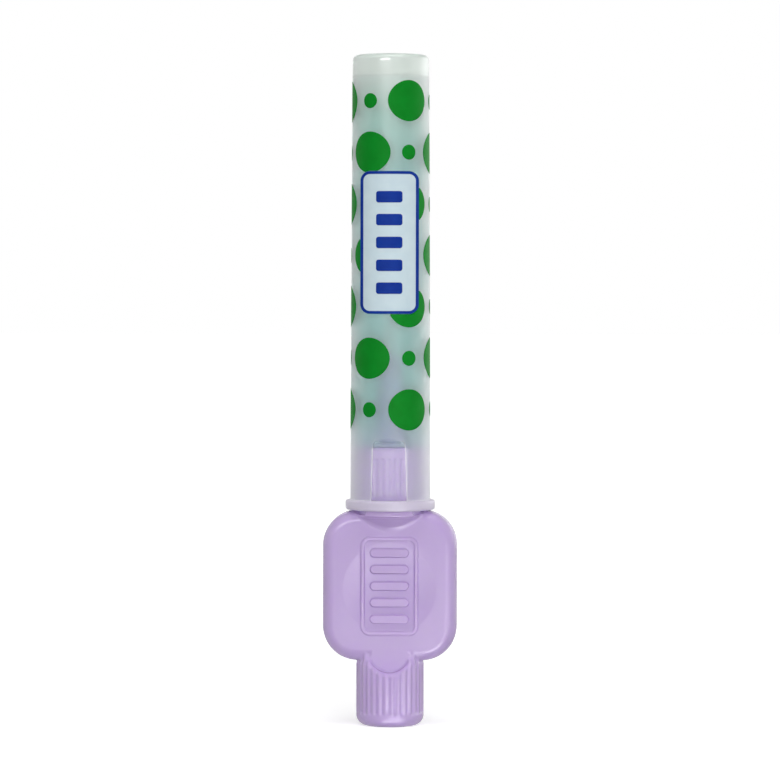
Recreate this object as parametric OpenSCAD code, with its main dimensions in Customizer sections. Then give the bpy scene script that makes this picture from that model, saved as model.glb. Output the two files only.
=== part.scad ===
/* [Barrel and plug] */
// Radius of the barrel under the plate and of the plug above it
barrel_r = 4.3; // [4:0.1:4.8]
// Rounding at the free end of the barrel and of the plug
barrel_round = 1.3; // [0.8:0.1:1.6]
// Height of the barrel from the foot to the lower edge of the plate
barrel_h = 8.3; // [8:0.1:10]
// Height of the plug from the seat of the cap to the plug's top
plug_h = 8.2; // [7:0.1:10]
// Number of ribs round the barrel and round the plug
rib_count = 32; // [24:1:36]
// Radius of the groove between two ribs
groove_r = 0.2; // [0.15:0.01:0.24]
// Depth of the groove between two ribs
groove_depth = 0.08; // [0.05:0.01:0.12]

/* [Finger plate] */
// Width of the finger plate
plate_w = 17; // [15:0.5:20]
// Height of the finger plate
plate_h = 19; // [18:0.5:23]
// Thickness of the finger plate
plate_t = 5.2; // [4.6:0.1:5.8]
// Radius of the plate's corners seen from the front
plate_corner_r = 4.4; // [3.5:0.1:5]
// Rounding of the plate's edges
plate_round = 1.5; // [0.8:0.1:2]
// Radius of the shallow thumb dish on each face
dish_r = 5.9; // [5:0.1:6.5]
// Depth of the thumb dish
dish_depth = 0.32; // [0.15:0.01:0.35]
// Radius of the round-ended scoop where a face of the plate runs into the barrel
scoop_r = 2.75; // [2.6:0.05:3.2]
// Width of the raised frame of grip bars
mark_w = 7.2; // [6:0.1:8]
// Height of the raised frame of grip bars
mark_h = 12.4; // [10:0.1:13]
// Height of the frame and its bars over the plate's face
mark_raise = 0.16; // [0.08:0.01:0.2]
// Number of grip bars inside the frame
mark_bars = 5; // [3:1:6]

/* [Neck and wire] */
// Length of the neck that holds the wire
neck_h = 11.4; // [9:0.1:13]
// Radius at the foot of the neck
neck_foot_r = 1.9; // [1.6:0.1:2.4]
// Radius at the tip of the neck
neck_tip_r = 1.25; // [1.1:0.05:1.5]
// Radius of the steel wire
wire_r = 0.14; // [0.12:0.01:0.16]
// Wall of the plastic coating on the wire
coat_t = 0.08; // [0.06:0.01:0.1]
// Height in which the folded wire makes one full turn
twist_pitch = 3; // [2.8:0.1:3.6]
// Length of wire that stands out of the neck
wire_reach = 22.1; // [19:0.1:24]
// Length of wire held inside the neck
wire_hold = 3.4; // [2.5:0.1:6]

/* [Bristles] */
// Length of the bristled zone
brush_l = 15; // [12:0.5:16]
// Radius of the brush over the bristle tips
brush_r = 2.5; // [1.8:0.1:3.2]
// Number of bristles along one side of the twisted wire
bristle_rows = 150; // [150:1:160]

/* [Cap] */
// Height of the cap from its seat to its closed end
cap_h = 57.8; // [56:0.1:62]
// Radial clearance between the plug and the cap's bore
cap_fit = 0.05; // [0.03:0.01:0.08]
// Wall of the cap at its mouth
cap_wall = 0.75; // [0.6:0.05:1]
// Thickness of the cap's closed end
cap_end_t = 2.5; // [1.5:0.1:3]
// How much smaller the cap's radius is at its closed end than at its mouth
cap_draw_in = 0.24; // [0.1:0.02:0.4]
// Rounding at the cap's closed end
cap_round = 0.75; // [0.5:0.05:1]
// How far the flange at the mouth stands out from the cap
flange_reach = 0.6; // [0.4:0.05:0.8]
// Thickness of the flange
flange_t = 1.25; // [0.9:0.05:1.6]
// Wall left behind the two flats above the flange
flat_wall = 0.25; // [0.2:0.01:0.35]
// Height of the flats above the flange
flat_h = 6.9; // [6:0.1:8]

/* [Print on the cap] */
// Width of the pale panel
panel_w = 7.3; // [6:0.1:8]
// Height of the pale panel
panel_h = 18; // [16:0.1:20]
// Height of the panel's lower edge above the cap's seat
panel_z = 24.9; // [22:0.1:27]
// Width of the dark line round the panel
line_w = 0.36; // [0.25:0.01:0.5]
// Number of dark bars on the panel
bar_count = 5; // [3:1:6]
// Radius of a large round spot
spot_r = 2.6; // [2:0.1:3]
// Radius of a small round spot
dot_r = 0.95; // [0.6:0.05:1.2]
// Height between two rows of spots
spot_rise = 6.5; // [6:0.1:6.8]

/* [Hidden] */

// Overrun of a cut past the surface that it opens
cut = 1;
// Fineness of round shapes
ball_fn = 240;
fine_fn = 96;
spot_fn = 48;
small_fn = 32;
groove_fn = 24;

// Heights above the foot
plate_z = barrel_h + plate_h / 2;
seat_rise = 0.1;
seat_z = barrel_h + plate_h + seat_rise;
neck_z = seat_z + plug_h;
neck_top_z = neck_z + neck_h;

// The barrel draws in above its straight wall and fades into the plate
barrel_fade = 0.5;
barrel_fade_h = 2;
barrel_wall_top = barrel_h - barrel_fade;

// The ribs end short of the rounded ends and of the cap's seat
rib_end_gap = 1.65;
rib_seat_gap = 1.8;

// Collar that carries the cap: a boss on each face, over a cone that runs out on the plate's face
collar_reach = 0.5;
collar_r = barrel_r + collar_reach;
collar_rim_h = 0.55;
collar_boss_w = 6;
collar_rise_share = 0.83;
collar_cone_h = (collar_r - plate_t / 2) * collar_rise_share;

// Scoop, whose round end lies a little below the plate, and the lip round it
scoop_drop = 1.4;
scoop_lip = 0.3;
scoop_z = barrel_h - scoop_drop + scoop_r;

// Dish, a little under the middle of the plate
dish_drop = 0.4;
dish_z = plate_z - dish_drop;

// Raised frame and bars on the plate
mark_line = 0.42;
mark_corner_r = 1.1;
bar_space = 0.75;
mark_inner_h = mark_h - 2 * mark_line;
mark_bar_h = mark_inner_h / (2 * mark_bars + 1);

// Neck
neck_flare = 0.6;
neck_round = 0.4;

// Wire: core, coating and the bore that holds them
coat_fit = 0.01;
coat_in_r = wire_r + coat_fit;
coat_r = coat_in_r + coat_t;
strand_gap = 0.18;
strand_offset = coat_r + strand_gap / 2;
wire_fit = 0.05;
wire_bore_r = strand_offset + coat_r + wire_fit;
wire_z = neck_top_z - wire_hold;
wire_top_z = neck_top_z + wire_reach - strand_offset - coat_r;
wire_sides = 6;
rings_per_turn = 8;
tip_steps = 6;
leg_steps = ceil(rings_per_turn * (wire_top_z - wire_z) / twist_pitch);

// Bristles: a ribbon between the two legs of the wire, whose edges run out into bristles
tip_bare = 1;
ribbon_t = 0.08;
ribbon_half_w = 0.24;
bristle_tip_t = 0.05;
brush_z = neck_top_z + wire_reach - tip_bare - brush_l;

// Cap radii
bore_r = barrel_r + cap_fit;
cap_r = bore_r + cap_wall;
bore_spare = 1.2;
bore_h = plug_h + bore_spare;
mouth_chamfer = 0.2;
flange_round = 0.3;
flat_run_r = 1.1;

// Ink layers on the cap
ink_t = 0.03;
ink_gap = 0.005;
ink_bottom = 8;
ink_margin = 2;
panel_corner_r = 1.2;
bar_share = 0.5;
spot_rows = 7;
spots_round = 3;
spot_z = 12.8;
spot_front_angle = -90;

// Outer radius of the cap at a height above its seat
function cap_r_at(h) = cap_r - cap_draw_in * h / cap_h;

function unit(v) = v / norm(v);

// Direction from the axis to one leg of the wire at a height
function leg_dir(z) = [cos(360 * z / twist_pitch), sin(360 * z / twist_pitch), 0];

// Centre line of the folded wire: up one leg, over the tip and down the other
function leg_point(z, side) = side * strand_offset * leg_dir(z) + [0, 0, z];
function tip_point(turn) =
    let (z = wire_top_z + strand_offset * sin(turn))
    strand_offset * cos(turn) * leg_dir(z) + [0, 0, z];
function leg_z(i) = wire_z + (wire_top_z - wire_z) * i / leg_steps;
wire_path = [
    for (i = [0 : leg_steps]) leg_point(leg_z(i), 1),
    for (i = [1 : tip_steps - 1]) tip_point(180 * i / tip_steps),
    for (i = [leg_steps : -1 : 0]) leg_point(leg_z(i), -1)
];

// One ring of points round the wire's centre line
function path_dir(path, i) = unit(path[min(i + 1, len(path) - 1)] - path[max(i - 1, 0)]);
function path_out(path, i) = path[i] - [0, 0, min(path[i].z, wire_top_z)];
function ring(path, i, r) =
    let (along = path_dir(path, i))
    let (side = unit(cross(along, path_out(path, i))))
    let (out = cross(side, along))
    [
        for (k = [0 : wire_sides - 1])
            let (a = 360 * k / wire_sides)
            path[i] + r * (cos(a) * out + sin(a) * side)
    ];

// Triangles of a skin between rows of points, each row closed on itself; flip turns the skin inside out
function skin_faces(rows, n, first = 0, flip = false) = [
    for (i = [0 : rows - 2], k = [0 : n - 1])
        let (a = first + i * n + k, b = first + i * n + (k + 1) % n, c = a + n, d = b + n)
        each flip ? [[a, b, c], [b, d, c]] : [[a, c, b], [b, c, d]]
];
// Triangles of a flat end; flip turns it to face the other way
function end_faces(n, first, flip = false) = [
    for (k = [1 : n - 2])
        flip ? [first, first + k, first + k + 1] : [first, first + k + 1, first + k]
];
// Triangles of a ring-shaped end between an outer and an inner row
function rim_faces(n, outer, inner, flip = false) = [
    for (k = [0 : n - 1])
        let (a = outer + k, b = outer + (k + 1) % n, c = inner + k, d = inner + (k + 1) % n)
        each flip ? [[a, c, b], [b, c, d]] : [[a, b, c], [b, d, c]]
];

// Rectangle with rounded corners, centred
module rounded_rect(w, h, r) {
    square([w - 2 * r, h], center = true);
    square([w, h - 2 * r], center = true);
    for (x = [-1, 1], y = [-1, 1])
        translate([x * (w / 2 - r), y * (h / 2 - r)])
            circle(r, $fn = small_fn);
}

// Bar with round ends, centred
module round_bar(w, h) {
    square([w - h, h], center = true);
    for (x = [-1, 1])
        translate([x * (w - h) / 2, 0])
            circle(h / 2, $fn = small_fn);
}

// Half outline of a rod with a rounded top, for turning round the axis
module rod_half(r, h, round_r) {
    square([r, h - round_r]);
    square([r - round_r, h]);
    translate([r - round_r, h - round_r])
        intersection() {
            circle(round_r, $fn = small_fn);
            square(round_r);
        }
}

// Section across the edge of the plate, from a corner's centre outward
module plate_edge() {
    translate([0, -plate_t / 2])
        square([plate_corner_r - plate_round, plate_t]);
    translate([0, plate_round - plate_t / 2])
        square([plate_corner_r, plate_t - 2 * plate_round]);
    for (y = [-1, 1])
        translate([plate_corner_r - plate_round, y * (plate_t / 2 - plate_round)])
            circle(plate_round, $fn = small_fn);
}

// Straight stretch of the plate's edge, with its corners' centres at both ends
module plate_side(reach, l) {
    translate([reach, l / 2, 0])
        rotate([90, 0, 0])
            linear_extrude(l) plate_edge();
}

// Finger plate lying flat, centred
module flat_plate() {
    in_x = plate_w / 2 - plate_corner_r;
    in_y = plate_h / 2 - plate_corner_r;
    cube([2 * in_x, 2 * in_y, plate_t], center = true);
    for (turn = [0, 180])
        rotate(turn) {
            plate_side(in_x, 2 * in_y);
            rotate(90) plate_side(in_y, 2 * in_x);
            translate([in_x, in_y, 0])
                rotate_extrude(angle = 90, $fn = fine_fn) plate_edge();
            translate([-in_x, in_y, 0])
                rotate(90) rotate_extrude(angle = 90, $fn = fine_fn) plate_edge();
        }
}

// Puts a shape that lies flat, face up, on the front or the back of the plate
module on_faces(z) {
    for (turn = [0, 180])
        rotate(turn)
            translate([0, -plate_t / 2, z])
                rotate([90, 0, 0])
                    children();
}

// Shallow dish, as a slice of a large ball
module dish_cut() {
    ball_r = (dish_r * dish_r + dish_depth * dish_depth) / (2 * dish_depth);
    intersection() {
        translate([0, 0, ball_r - dish_depth])
            rotate([90, 0, 0])
                sphere(ball_r, $fn = ball_fn);
        translate([0, 0, -2 * dish_depth])
            cylinder(r = dish_r + cut, h = 2 * dish_depth + cut, $fn = fine_fn);
    }
}

// Raised frame with bars inside it, from a depth under the face to a height over it
module grip_mark(depth, height) {
    inner_w = mark_w - 2 * mark_line;
    translate([0, 0, -depth])
        linear_extrude(depth + height) {
            difference() {
                rounded_rect(mark_w, mark_h, mark_corner_r);
                rounded_rect(inner_w, mark_inner_h, mark_corner_r - mark_line);
            }
            for (i = [0 : mark_bars - 1])
                translate([0, (2 * i + 1 - mark_bars) * mark_bar_h])
                    round_bar(inner_w - 2 * bar_space, mark_bar_h);
        }
}

// Finger plate standing in its place, with a dish and a raised mark on each face
module finger_plate() {
    difference() {
        union() {
            translate([0, 0, plate_z]) rotate([90, 0, 0]) flat_plate();
            on_faces(plate_z) grip_mark(plate_t / 4, mark_raise);
        }
        on_faces(plate_z)
            difference() {
                translate([0, dish_z - plate_z, 0]) dish_cut();
                grip_mark(plate_t / 4, 2 * cut);
            }
    }
}

// Grooves that leave the ribs, between two heights
module rib_grooves(bottom, top) {
    for (i = [0 : rib_count - 1])
        rotate(360 * i / rib_count)
            translate([barrel_r + groove_r - groove_depth, 0, bottom])
                cylinder(r = groove_r, h = top - bottom, $fn = groove_fn);
}

// Round-ended slot that a face of the plate leaves in the barrel, with a sloping lip
module scoop_cut() {
    depth = barrel_r - plate_t / 2;
    for (turn = [0, 180])
        rotate(turn)
            translate([0, -plate_t / 2, scoop_z])
                rotate([90, 0, 0]) {
                    cylinder(r = scoop_r, h = depth + cut, $fn = fine_fn);
                    translate([0, 0, depth - scoop_lip])
                        cylinder(r1 = scoop_r, r2 = scoop_r + scoop_lip + cut,
                                 h = scoop_lip + cut, $fn = fine_fn);
                    translate([-scoop_r, 0, 0])
                        cube([2 * scoop_r, 2 * barrel_h, depth + cut]);
                }
}

// Barrel under the plate, standing on a flat foot
module barrel() {
    difference() {
        union() {
            translate([0, 0, barrel_wall_top])
                mirror([0, 0, 1])
                    rotate_extrude($fn = fine_fn) rod_half(barrel_r, barrel_wall_top, barrel_round);
            translate([0, 0, barrel_wall_top])
                cylinder(r1 = barrel_r, r2 = barrel_r - barrel_fade, h = barrel_fade_h, $fn = fine_fn);
        }
        rib_grooves(rib_end_gap, barrel_wall_top + barrel_fade_h + cut);
        scoop_cut();
    }
}

// Collar that the cap's mouth sits on: a boss at the front and the back, and the cone under them
module collar() {
    translate([0, 0, seat_z - collar_rim_h])
        intersection() {
            cylinder(r = collar_r, h = collar_rim_h, $fn = fine_fn);
            translate([0, 0, collar_rim_h / 2])
                cube([collar_boss_w, 2 * collar_r + cut, collar_rim_h + cut], center = true);
        }
    translate([0, 0, seat_z - collar_rim_h - collar_cone_h])
        cylinder(r1 = plate_t / 2, r2 = collar_r, h = collar_cone_h, $fn = fine_fn);
}

// Ribbed plug that holds the cap
module plug() {
    difference() {
        translate([0, 0, seat_z])
            rotate_extrude($fn = fine_fn) rod_half(barrel_r, plug_h, barrel_round);
        rib_grooves(seat_z + rib_seat_gap, neck_z - rib_end_gap);
    }
}

// Neck that tapers up to the wire
module neck() {
    translate([0, 0, neck_z])
        cylinder(r1 = neck_foot_r + neck_flare, r2 = neck_foot_r, h = neck_flare, $fn = fine_fn);
    translate([0, 0, neck_z])
        cylinder(r1 = neck_foot_r, r2 = neck_tip_r, h = neck_h - neck_round, $fn = fine_fn);
    translate([0, 0, neck_top_z - neck_round])
        cylinder(r1 = neck_tip_r, r2 = neck_tip_r - neck_round, h = neck_round, $fn = fine_fn);
}

module handle() {
    color([0.77, 0.68, 0.87])
        difference() {
            union() {
                barrel();
                finger_plate();
                collar();
                plug();
                neck();
            }
            translate([0, 0, wire_z - wire_fit])
                cylinder(r = wire_bore_r, h = wire_hold + wire_fit + cut, $fn = small_fn);
        }
}

// Steel wire, folded in two and twisted
module wire_core() {
    rows = len(wire_path);
    points = [for (i = [0 : rows - 1]) each ring(wire_path, i, wire_r)];
    faces = concat(
        skin_faces(rows, wire_sides),
        end_faces(wire_sides, 0, true),
        end_faces(wire_sides, (rows - 1) * wire_sides)
    );
    color([0.72, 0.73, 0.75])
        polyhedron(points, faces);
}

// Plastic coating along the whole wire
module wire_coating() {
    rows = len(wire_path);
    inner = rows * wire_sides;
    last = (rows - 1) * wire_sides;
    points = concat(
        [for (i = [0 : rows - 1]) each ring(wire_path, i, coat_r)],
        [for (i = [0 : rows - 1]) each ring(wire_path, i, coat_in_r)]
    );
    faces = concat(
        skin_faces(rows, wire_sides),
        skin_faces(rows, wire_sides, inner, true),
        rim_faces(wire_sides, 0, inner),
        rim_faces(wire_sides, last, inner + last, true)
    );
    color([0.93, 0.93, 0.95])
        polyhedron(points, faces);
}

// Bristles that radiate from between the legs of the wire
module bristles() {
    step = brush_l / bristle_rows;
    // Four rails up the ribbon, and four points at the tip of the bristle on each side of a step
    rails = [
        for (i = [0 : bristle_rows])
            let (z = brush_z + i * step, u = leg_dir(z), w = [-u.y, u.x, 0])
            for (s = [[1, 1], [1, -1], [-1, -1], [-1, 1]])
                s[0] * ribbon_half_w * w + s[1] * ribbon_t / 2 * u + [0, 0, z]
    ];
    tips = [
        for (i = [0 : bristle_rows - 1], side = [1, -1])
            let (z = brush_z + (i + 0.5) * step, u = leg_dir(z), w = [-u.y, u.x, 0])
            for (s = [[1, -1], [-1, -1], [-1, 1], [1, 1]])
                side * brush_r * w + side * s[0] * bristle_tip_t / 2 * u
                    + [0, 0, z + s[1] * bristle_tip_t / 2]
    ];
    first_tip = len(rails);
    // Base corners of a bristle in the order of its tip's points
    base = function (i, side) side == 0
        ? [4 * i, 4 * i + 1, 4 * i + 5, 4 * i + 4]
        : [4 * i + 2, 4 * i + 3, 4 * i + 7, 4 * i + 6];
    faces = concat(
        [for (i = [0 : bristle_rows - 1]) each [
            [4 * i, 4 * i + 3, 4 * i + 4], [4 * i + 3, 4 * i + 7, 4 * i + 4],
            [4 * i + 2, 4 * i + 1, 4 * i + 6], [4 * i + 1, 4 * i + 5, 4 * i + 6]
        ]],
        [for (i = [0 : bristle_rows - 1], side = [0, 1], k = [0 : 3])
            let (b = base(i, side), t = first_tip + 8 * i + 4 * side)
            let (n = (k + 1) % 4)
            each [[b[k], t + k, b[n]], [b[n], t + k, t + n]]],
        [for (i = [0 : bristle_rows - 1], side = [0, 1])
            let (t = first_tip + 8 * i + 4 * side)
            each [[t, t + 2, t + 1], [t, t + 3, t + 2]]],
        [[0, 2, 3], [0, 1, 2]],
        let (e = 4 * bristle_rows) [[e, e + 2, e + 1], [e, e + 3, e + 2]]
    );
    color([0.93, 0.91, 0.96])
        polyhedron(concat(rails, tips), faces);
}

// Outer half outline of the cap
module cap_outer() {
    top_r = cap_r_at(cap_h);
    polygon([
        [0, 0], [cap_r, 0], [cap_r_at(cap_h - cap_round), cap_h - cap_round],
        [top_r - cap_round, cap_h], [0, cap_h]
    ]);
    translate([top_r - cap_round, cap_h - cap_round])
        circle(cap_round, $fn = small_fn);
    translate([0, flange_round])
        square([cap_r + flange_reach, flange_t - 2 * flange_round]);
    square([cap_r + flange_reach - flange_round, flange_t]);
    for (y = [flange_round, flange_t - flange_round])
        translate([cap_r + flange_reach - flange_round, y])
            circle(flange_round, $fn = small_fn);
}

// Inner half outline of the cap: a straight bore for the plug, then a taper to the closed end
module cap_inner() {
    translate([0, -cut])
        square([bore_r, bore_h + cut]);
    polygon([
        [0, -mouth_chamfer], [bore_r + 2 * mouth_chamfer, -mouth_chamfer],
        [bore_r, mouth_chamfer], [0, mouth_chamfer]
    ]);
    polygon([
        [0, bore_h - mouth_chamfer], [bore_r, bore_h - mouth_chamfer], [bore_r, bore_h],
        [bore_r - cap_draw_in, cap_h - cap_end_t], [0, cap_h - cap_end_t]
    ]);
}

// One flat above the flange, with a hollow run-out at its top
module flat_cut() {
    flat_y = bore_r + flat_wall;
    translate([-cap_r, -flat_y - flat_run_r, flange_t])
        cube([2 * cap_r, flat_run_r, flat_h]);
    translate([-cap_r, -flat_y - flat_run_r, flange_t + flat_h])
        rotate([0, 90, 0])
            cylinder(r = flat_run_r, h = 2 * cap_r, $fn = fine_fn);
}

module cap() {
    color([0.74, 0.83, 0.82])
        translate([0, 0, seat_z])
            difference() {
                rotate_extrude($fn = fine_fn)
                    difference() {
                        cap_outer();
                        cap_inner();
                    }
                for (turn = [0, 180])
                    rotate(turn) flat_cut();
            }
}

// Thin shell round the cap that an ink layer is cut from
module ink_shell(layer) {
    lift = ink_gap + layer * (ink_t + ink_gap);
    top = cap_h - ink_margin;
    translate([0, 0, seat_z])
        rotate_extrude($fn = fine_fn)
            polygon([
                [cap_r_at(ink_bottom) + lift, ink_bottom],
                [cap_r_at(ink_bottom) + lift + ink_t, ink_bottom],
                [cap_r_at(top) + lift + ink_t, top],
                [cap_r_at(top) + lift, top]
            ]);
}

// Puts a flat outline on the front of the cap, standing over the panel's middle
module on_front() {
    translate([0, 0, seat_z + panel_z + panel_h / 2])
        rotate([90, 0, 0])
            linear_extrude(cap_r + cut)
                children();
}

module print_panel() {
    color([0.84, 0.93, 0.96])
        intersection() {
            ink_shell(0);
            on_front() rounded_rect(panel_w, panel_h, panel_corner_r);
        }
}

// Dark line round the panel
module panel_frame() {
    difference() {
        rounded_rect(panel_w, panel_h, panel_corner_r);
        rounded_rect(panel_w - 2 * line_w, panel_h - 2 * line_w, panel_corner_r - line_w);
    }
}

// One plain bar on the panel, counted from below
module panel_bar(i) {
    bar_pitch = (panel_h - 2 * line_w) / (bar_count + 1);
    translate([0, (i - (bar_count + 1) / 2) * bar_pitch])
        square([(panel_w - 2 * line_w) * bar_share, bar_pitch * bar_share], center = true);
}

module print_lines() {
    color([0.05, 0.2, 0.58]) {
        intersection() {
            ink_shell(1);
            on_front() panel_frame();
        }
        for (i = [1 : bar_count])
            intersection() {
                ink_shell(1);
                on_front() panel_bar(i);
            }
    }
}

// Round spots in staggered rows, large and small by turns
module spot_rods() {
    for (row = [0 : spot_rows - 1], i = [0 : 2 * spots_round - 1])
        rotate(spot_front_angle + (i + 0.5) * 180 / spots_round)
            translate([0, 0, seat_z + spot_z + row * spot_rise])
                rotate([0, 90, 0])
                    translate([0, 0, bore_r])
                        cylinder(r = (row + i) % 2 == 0 ? spot_r : dot_r, h = cut + cap_wall, $fn = spot_fn);
}

module print_spots() {
    color([0.0, 0.53, 0.16])
        difference() {
            intersection() {
                ink_shell(0);
                spot_rods();
            }
            on_front() rounded_rect(panel_w + 2 * ink_t, panel_h + 2 * ink_t, panel_corner_r + ink_t);
        }
}

handle();
wire_core();
wire_coating();
bristles();
cap();
print_panel();
print_lines();
print_spots();
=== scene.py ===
import math

import bpy
import numpy as np
from mathutils import Matrix, Vector


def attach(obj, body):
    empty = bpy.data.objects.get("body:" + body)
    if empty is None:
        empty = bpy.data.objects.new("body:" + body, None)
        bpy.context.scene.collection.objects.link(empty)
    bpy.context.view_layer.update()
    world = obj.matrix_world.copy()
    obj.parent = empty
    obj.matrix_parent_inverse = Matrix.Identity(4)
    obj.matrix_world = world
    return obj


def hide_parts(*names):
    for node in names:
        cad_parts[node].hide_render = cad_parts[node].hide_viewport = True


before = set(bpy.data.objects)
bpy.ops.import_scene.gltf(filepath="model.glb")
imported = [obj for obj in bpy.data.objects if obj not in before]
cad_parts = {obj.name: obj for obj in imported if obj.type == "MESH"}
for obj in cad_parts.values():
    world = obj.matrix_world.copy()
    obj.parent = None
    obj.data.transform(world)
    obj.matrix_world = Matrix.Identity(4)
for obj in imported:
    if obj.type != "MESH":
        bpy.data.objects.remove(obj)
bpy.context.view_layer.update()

MM = 0.001

# All sizes are in mm. Heights that end in _Z or _TOP count from the foot of the barrel.

# Barrel, whose wall is drawn in by FADE over FADE_H where it runs into the plate
BARREL_R, BARREL_ROUND, BARREL_H = 4.3, 1.3, 8.3
FADE, FADE_H = 0.5, 2.0
WALL_TOP = BARREL_H - FADE

# Finger plate
PLATE_W, PLATE_H, PLATE_T = 17.0, 19.0, 5.2
PLATE_CORNER, PLATE_ROUND = 4.4, 1.5
PLATE_Z = BARREL_H + PLATE_H / 2

# Dish in each face of the plate, and the raised frame and bars over it
DISH_DROP = 0.4
DISH_R, DISH_DEPTH, DISH_Z = 5.9, 0.32, PLATE_Z - DISH_DROP
DISH_SOFT = 0.00004
MARK_W, MARK_H, MARK_LINE, MARK_RAISE = 7.2, 12.4, 0.42, 0.16
MARK_CORNER, MARK_EDGE = 1.1, 0.09
MARK_BARS, BAR_SPACE = 5, 0.75

# Plug that the cap sits on, and the neck that holds the wire
SEAT_RISE = 0.1
SEAT_Z = BARREL_H + PLATE_H + SEAT_RISE
PLUG_H, PLUG_ROUND = 8.2, 0.8
NECK_Z = SEAT_Z + PLUG_H
NECK_H, NECK_R, NECK_DRAW, NECK_EDGE = 11.4, 1.9, 0.65, 0.4
NECK_TOP = NECK_Z + NECK_H

# Grooves between the ribs, and the heights over which they run out: over the foot, over the seat
# and below the top of the plug
RIBS, GROOVE_DEPTH, GROOVE_HALF = 32, 0.13, 0.41
FOOT_RUN, SEAT_RUN, TOP_RUN = (1.4, 1.9), (1.6, 2.0), (1.85, 1.45)

# Round-ended scoop in each face of the barrel
SCOOP_R, SCOOP_LIP, SCOOP_FOOT, SCOOP_DROP = 2.75, 0.6, 0.4, 1.4
SCOOP_Z = BARREL_H - SCOOP_DROP + SCOOP_R

# Collar under the cap: a cone, followed down for CONE_LOW, with a boss over it on each face
COLLAR_R, COLLAR_RIM, COLLAR_RISE, CONE_LOW = BARREL_R + 0.5, 0.55, 0.83, 9
BOSS_W, BOSS_SIDE, BOSS_FOOT, BOSS_FOOT_EDGE = 6.0, 0.15, 0.15, 0.12
EDGE = 0.08

# Blends between the forms of the handle, and how far each form starts inside the one below
SCOOP_BLEND, SIDE_BLEND, SIDE_IN, SIDE_OUT = 0.004, 0.346, 0.2, 0.5
CONE_BLEND, BOSS_BLEND, PLUG_BLEND, NECK_BLEND = 0.45, 0.25, 0.12, 0.9
SUNK = 1

# The grid and the triangle budget of the handle's mesh
GRID_LOW, GRID_HIGH = (-8.8, -5.5, -0.3), (8.8, 5.5, 47.7)
GRID_STEP = 0.11
GRID_SLAB = 24
MOST_TRIANGLES = 170000

# Twisted wire: its pitch, half the distance between its legs, its steel and its sleeve
TWIST, STRAND = 3.0, 0.32
WIRE_R, COAT_R = 0.14, 0.23
WIRE_SIDES, COAT_SIDES = 12, 16
WIRE_HOLD, WIRE_REACH, TIP_BARE = 3.4, 22.1, 1.0
WIRE_LOW = NECK_TOP - WIRE_HOLD
WIRE_TOP = NECK_TOP + WIRE_REACH - STRAND - COAT_R

# Filaments, and the spread of their fan (degrees), slopes and lengths
BRUSH_L, BRUSH_R = 15.0, 2.5
BRUSH_Z = NECK_TOP + WIRE_REACH - TIP_BARE - BRUSH_L
FILAMENTS = 1400
FILAMENT_SEED = 7
FILAMENT_R, FILAMENT_TAPER, FILAMENT_TIP, FILAMENT_START = 0.036, 0.25, 0.55, 0.12
FILAMENT_SIDES, FILAMENT_RINGS = 4, 5
FAN, RISE, SHORTEST, BEND, SAG = 15, 0.05, 0.955, 0.05, 0.06

# Cap
CAP_H, CAP_TAPER, CAP_END, CAP_ROUND = 57.8, 0.24, 2.5, 0.75
CAP_FIT, CAP_WALL, BORE_SPARE = 0.05, 0.75, 1.2
BORE_R = BARREL_R + CAP_FIT
CAP_R = BORE_R + CAP_WALL
BORE_H = PLUG_H + BORE_SPARE
CAVITY_TOP = SEAT_Z + CAP_H - CAP_END
CAVITY_ROUND, MOUTH_ROUND = 0.6, 0.2
FLANGE_REACH, FLANGE_T, FLANGE_ROUND, FLANGE_FILLET = 0.598, 1.25, 0.3, 0.12
FLANGE_Z = SEAT_Z + FLANGE_T
CAP_COLUMNS = 288

# Rings of the cap's grid: FINE apart where the flats run out, and COARSE apart above. FIRST, STOP
# and LAST keep them off the rounding at the top, the change of step and the flange.
RING_FINE, RING_COARSE, RING_CHANGE = 0.12, 1.4, 10.0
RING_FIRST, RING_STOP, RING_LAST = 0.6, 0.2, 0.16
BORE_RINGS = (1.5, 3.0, 4.5, 6.0, 7.0, PLUG_H - 0.2, PLUG_H + 0.4)
MOUTH_RINGS = (0.5, 0.25)
FLANGE_LEAD = 0.05

# How the faces of the shell are told apart: so far out from the bore, in from the outside and up
# from the mouth, with SLIVER for rounding
OUT_BY, IN_BY, UP_BY, SLIVER = 0.3, 0.5, 1.2, 0.001

# Flat on the cap's front and back, which no ring over FLAT_LAST meets, and the clear window in it
FLAT_Y, FLAT_LEAN = BORE_R + 0.21, 0.014
FLAT_H, FLAT_RUN, FLAT_EDGE, FLAT_LAST = 6.75, 2.0, 0.05, 12
WINDOW_X = math.sqrt(CAP_R ** 2 - FLAT_Y ** 2)
WINDOW_DRAW, WINDOW_CORNER, WINDOW_RISE = 0.035, 0.8, 1.2
WINDOW_Z = FLANGE_Z + FLAT_H + WINDOW_RISE
WINDOW_BORE_TOP, WINDOW_FADE_TOP = NECK_Z - 0.1, NECK_Z + 0.7
# The window's soft edge, then the painted highlight line at its sides: how far it reaches in and out
# of the outline, and the distances across over which it comes in
WINDOW_SOFT, HIGHLIGHT_INNER, HIGHLIGHT_OUTER = 0.12, 0.02, 0.07
HIGHLIGHT_FROM, HIGHLIGHT_FULL = 1.4, 1.9

# Ink films, with heights over the cap's seat
INK_GAP, INK_T = 0.005, 0.03
INK_STEP = 0.14
CHART_R = CAP_R - 0.1
PANEL_W, PANEL_H, PANEL_Z, PANEL_CORNER, PANEL_SPAN = 7.3, 18.0, 24.9, 1.2, 4.8
LINE_W, BARS, BAR_SHARE, BAR_CORNER = 0.36, 5, 0.5, 0.3
SPOT_R, DOT_R, SPOT_RISE, SPOT_Z, SPOT_ROWS, SPOT_COLUMNS = 2.6, 0.95, 6.5, 12.8, 7, 6
SPOT_CLEAR = 0.03

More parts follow.
